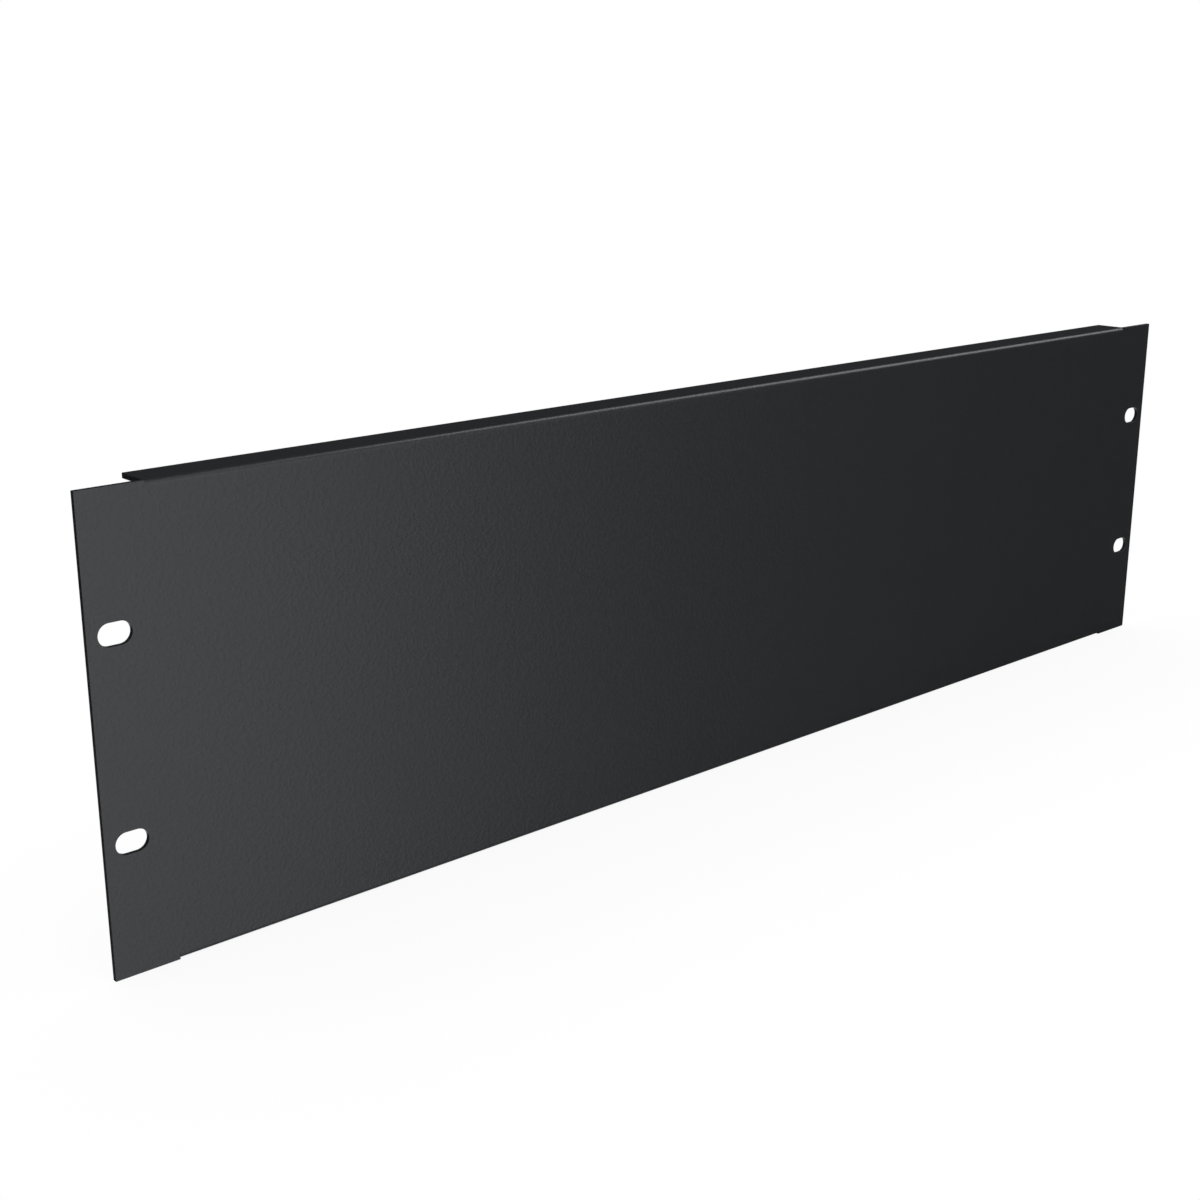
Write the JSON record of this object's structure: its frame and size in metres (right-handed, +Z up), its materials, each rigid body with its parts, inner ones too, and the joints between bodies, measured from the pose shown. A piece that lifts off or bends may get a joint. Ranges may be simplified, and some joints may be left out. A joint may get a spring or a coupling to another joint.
{
  "type": "rack blanking panel",
  "caption": "Folded steel panel with slotted ears and flanges turned back along top and bottom, which closes unused height at the front of an equipment rack.",
  "frame": {"origin": "the middle of the slot pattern, on the rear plane of the ears, which meets the rack's rails", "axes": "+X along the panel to the right as seen from the front, +Y into the rack, square to the face, +Z up"},
  "size_m": [0.4826, 0.0124, 0.1334],
  "materials": {
    "powder_coat": "black powder coat, low gloss, with a fine orange-peel texture"
  },
  "bodies": {
    "root": {"blanking_panel": "powder_coat"}
  },
  "joints": []
}
